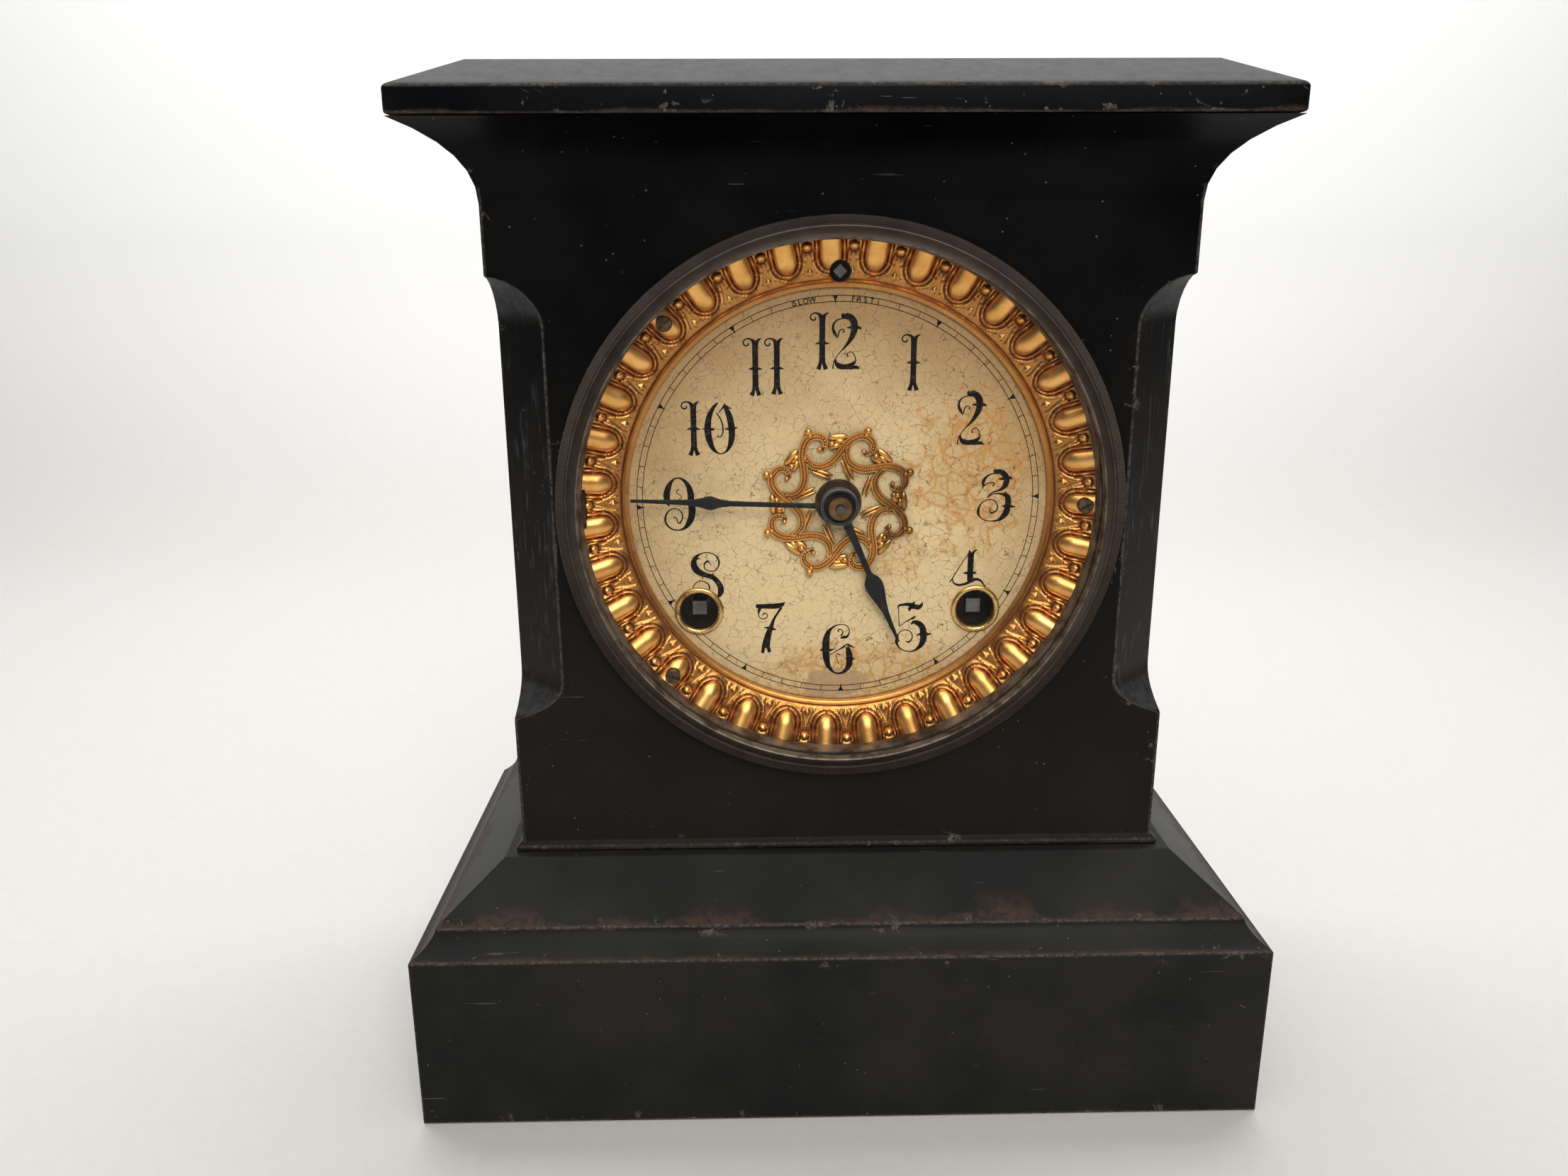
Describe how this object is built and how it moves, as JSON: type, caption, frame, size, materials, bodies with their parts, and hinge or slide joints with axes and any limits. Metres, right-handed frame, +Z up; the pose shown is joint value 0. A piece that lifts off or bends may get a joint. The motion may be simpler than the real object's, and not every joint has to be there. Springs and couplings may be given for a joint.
{
  "type": "mantel clock",
  "caption": "Cast-iron mantel clock with a stepped base, cavetto top, hinged glass bezel, egg-and-dart dial surround, striking spring movement and pendulum.",
  "frame": {"origin": "on the floor under the middle of the base", "axes": "+Z up, -Y towards the viewer of the dial, +X to that viewer's right"},
  "size_m": [0.238, 0.1274, 0.2834],
  "materials": {
    "case_iron": "black enamel, satin",
    "bare_iron": "bare, dark",
    "gilt": "gilt, worn",
    "brass": "plain brass",
    "dark_brass": "patinated brown",
    "steel": "plain steel",
    "blued_steel": "blackened",
    "dial_paper": "aged printed dial",
    "glass": "clear",
    "tin": "dull tin plate"
  },
  "bodies": {
    "case": {"base_plinth": "case_iron", "case_body": "case_iron", "top_cap": "case_iron", "case_tie_bolt_1": "bare_iron", "case_tie_bolt_2": "bare_iron", "back_cover": "tin", "back_cover_screw_1": "steel", "back_cover_screw_2": "steel", "back_door_hinge_pin": "steel", "bezel_hinge_leaf": "dark_brass", "dial_surround": "gilt", "dial_screw_1": "steel", "dial_screw_2": "steel", "dial_screw_3": "steel", "dial_plate": "dial_paper", "dial_centre_ornament": "gilt", "winding_grommet_right": "brass", "winding_grommet_left": "brass", "front_plate": "brass", "back_plate": "brass", "movement_screw_1": "steel", "movement_screw_2": "steel", "movement_screw_3": "steel", "movement_screw_4": "steel", "time_mainspring": "blued_steel", "strike_mainspring": "blued_steel", "suspension_cock": "brass", "gong_coil": "blued_steel", "gong_base": "bare_iron"},
    "bezel_door": {"bezel_ring": "dark_brass", "bezel_glass": "glass", "bezel_hinge_pin": "steel", "bezel_catch": "dark_brass"},
    "rear_door": {"back_door": "tin"},
    "minute_work": {"centre_arbor": "steel", "minute_hand": "blued_steel", "hand_washer": "brass"},
    "hour_work": {"hour_wheel": "brass", "hour_hand": "blued_steel"},
    "motion_wheel": {"minute_wheel": "brass"},
    "escape_work": {"escape_wheel": "brass"},
    "third_work": {"time_third_wheel": "brass"},
    "centre_work": {"centre_wheel": "brass"},
    "second_work": {"time_second_wheel": "brass"},
    "time_great_work": {"time_great_wheel": "brass", "time_click": "steel"},
    "time_winder": {"time_winding_arbor": "steel"},
    "fly_work": {"fly": "brass"},
    "warning_work": {"warning_wheel": "brass"},
    "pin_work": {"pin_wheel": "brass"},
    "strike_second_work": {"strike_second_wheel": "brass"},
    "strike_great_work": {"strike_great_wheel": "brass", "strike_click": "steel"},
    "strike_winder": {"strike_winding_arbor": "steel"},
    "pendulum": {"verge": "steel", "pendulum_rod": "steel", "pendulum_bob": "brass"},
    "regulator": {"regulator_arbor": "steel"},
    "rate_block": {"regulator_block": "brass"},
    "striker": {"hammer": "steel"}
  },
  "joints": [
    {"name": "bezel_hinge", "type": "hinge", "parent": "case", "child": "bezel_door", "pos_m": [-0.0744, -0.03845, 0.1711], "axis": [0, 0, -1], "range_deg": [0, 100]},
    {"name": "rear_door_hinge", "type": "hinge", "parent": "case", "child": "rear_door", "pos_m": [0.0628, 0.06075, 0.1571], "axis": [0, 0, -1], "range_deg": [0, 110]},
    {"name": "minute_turn", "type": "hinge", "parent": "case", "child": "minute_work", "pos_m": [0, -0.03625, 0.1711], "axis": [0, 1, 0], "continuous": true},
    {"name": "hour_turn", "type": "hinge", "parent": "case", "child": "hour_work", "pos_m": [0, -0.03625, 0.1711], "axis": [0, 1, 0], "continuous": true},
    {"name": "motion_turn", "type": "hinge", "parent": "case", "child": "motion_wheel", "pos_m": [0, -0.03625, 0.1543], "axis": [0, 1, 0], "continuous": true},
    {"name": "escape_turn", "type": "hinge", "parent": "case", "child": "escape_work", "pos_m": [0, -0.03625, 0.2031], "axis": [0, 1, 0], "continuous": true},
    {"name": "third_turn", "type": "hinge", "parent": "case", "child": "third_work", "pos_m": [-0.01215, -0.03625, 0.18918], "axis": [0, 1, 0], "continuous": true},
    {"name": "centre_turn", "type": "hinge", "parent": "case", "child": "centre_work", "pos_m": [0, -0.03625, 0.1711], "axis": [0, 1, 0], "continuous": true},
    {"name": "second_turn", "type": "hinge", "parent": "case", "child": "second_work", "pos_m": [0.02489, -0.03625, 0.17505], "axis": [0, 1, 0], "continuous": true},
    {"name": "time_great_turn", "type": "hinge", "parent": "case", "child": "time_great_work", "pos_m": [0.0393, -0.03625, 0.1398], "axis": [0, 1, 0], "continuous": true},
    {"name": "time_winding", "type": "hinge", "parent": "time_great_work", "child": "time_winder", "pos_m": [0.0393, -0.03625, 0.1398], "axis": [0, 1, 0], "continuous": true},
    {"name": "fly_turn", "type": "hinge", "parent": "case", "child": "fly_work", "pos_m": [-0.03354, -0.03625, 0.22016], "axis": [0, 1, 0], "continuous": true},
    {"name": "warning_turn", "type": "hinge", "parent": "case", "child": "warning_work", "pos_m": [-0.02694, -0.03625, 0.20873], "axis": [0, 1, 0], "continuous": true},
    {"name": "pin_turn", "type": "hinge", "parent": "case", "child": "pin_work", "pos_m": [-0.04055, -0.03625, 0.19732], "axis": [0, 1, 0], "continuous": true},
    {"name": "strike_second_turn", "type": "hinge", "parent": "case", "child": "strike_second_work", "pos_m": [-0.04591, -0.03625, 0.1773], "axis": [0, 1, 0], "continuous": true},
    {"name": "strike_great_turn", "type": "hinge", "parent": "case", "child": "strike_great_work", "pos_m": [-0.0393, -0.03625, 0.1398], "axis": [0, 1, 0], "continuous": true},
    {"name": "strike_winding", "type": "hinge", "parent": "strike_great_work", "child": "strike_winder", "pos_m": [-0.0393, -0.03625, 0.1398], "axis": [0, 1, 0], "continuous": true},
    {"name": "pendulum_swing", "type": "hinge", "parent": "case", "child": "pendulum", "pos_m": [0, 0.03775, 0.2211], "axis": [0, 1, 0], "range_deg": [-4, 4]},
    {"name": "regulator_turn", "type": "hinge", "parent": "case", "child": "regulator", "pos_m": [0, -0.03625, 0.2331], "axis": [0, 1, 0], "range_deg": [-90, 90]},
    {"name": "rate_slide", "type": "slide", "parent": "case", "child": "rate_block", "axis": [0, 0, 1], "range_m": [-0.00377, 0.00377]},
    {"name": "hammer_swing", "type": "hinge", "parent": "case", "child": "striker", "pos_m": [-0.06, 0.04975, 0.2111], "axis": [0, 1, 0], "range_deg": [0, 20], "stiffness_Nm_per_rad": 0.01, "springref_deg": -17.19}
  ],
  "couplings": [
    {"joint": "hour_turn", "follows": "minute_turn", "ratio": 0.083333},
    {"joint": "motion_turn", "follows": "minute_turn", "ratio": -0.33333},
    {"joint": "third_turn", "follows": "escape_turn", "ratio": -0.1},
    {"joint": "centre_turn", "follows": "escape_turn", "ratio": 0.01},
    {"joint": "second_turn", "follows": "escape_turn", "ratio": -0.0016667},
    {"joint": "time_great_turn", "follows": "escape_turn", "ratio": 0.00027778},
    {"joint": "warning_turn", "follows": "fly_turn", "ratio": -0.22222},
    {"joint": "pin_turn", "follows": "fly_turn", "ratio": 0.044444},
    {"joint": "strike_second_turn", "follows": "fly_turn", "ratio": -0.0074074},
    {"joint": "strike_great_turn", "follows": "fly_turn", "ratio": 0.0012346},
    {"joint": "regulator_turn", "follows": "rate_slide", "rad_per_m": -416.67}
  ]
}
